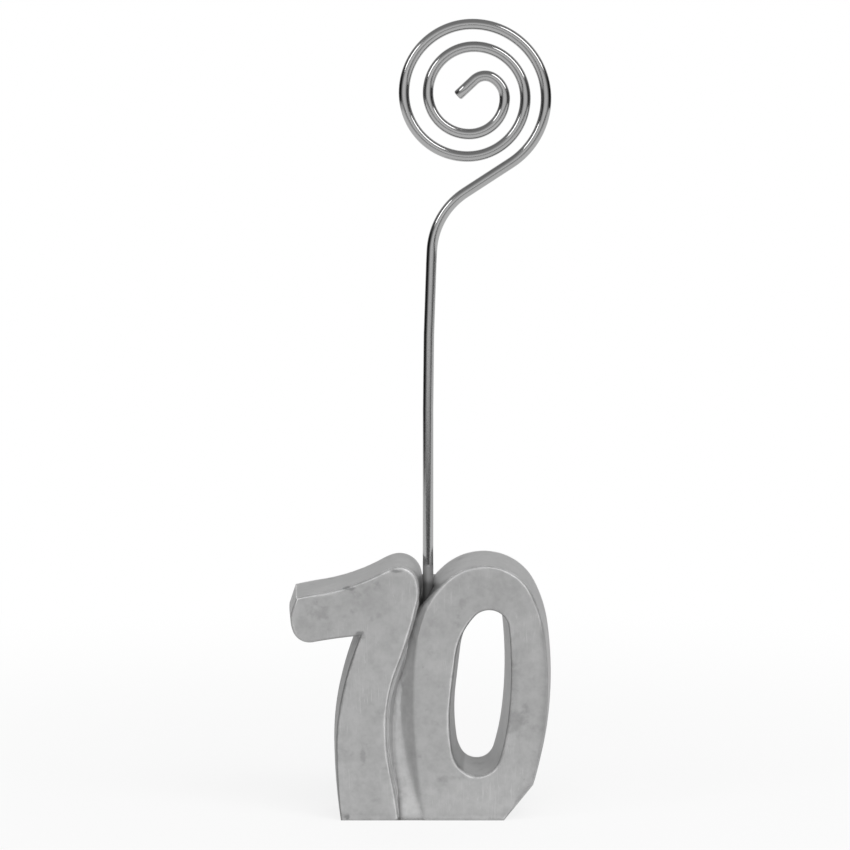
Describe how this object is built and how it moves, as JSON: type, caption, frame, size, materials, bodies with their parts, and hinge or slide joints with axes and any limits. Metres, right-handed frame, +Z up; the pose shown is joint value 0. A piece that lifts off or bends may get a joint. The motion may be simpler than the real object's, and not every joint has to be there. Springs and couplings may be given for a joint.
{
  "type": "place card holder",
  "caption": "Free-standing place card holder: cast numerals joined side by side carry a bent wire stem whose flat spiral coil grips a card between its turns.",
  "frame": {"origin": "on the table plane, midway front to back, under the middle of the figures' base", "axes": "+Z up along the stem, -Y the front on which the figures read, +X to the right seen from the front"},
  "size_m": [0.0399, 0.01, 0.1201],
  "materials": {
    "satin_silver_casting": "satin",
    "bright_wire": "polished",
    "clear_adhesive": "gloss"
  },
  "bodies": {
    "root": {"numeral_seven": "satin_silver_casting", "numeral_zero": "satin_silver_casting", "card_wire": "bright_wire", "seam_solder": "satin_silver_casting", "socket_adhesive": "clear_adhesive"}
  },
  "joints": []
}
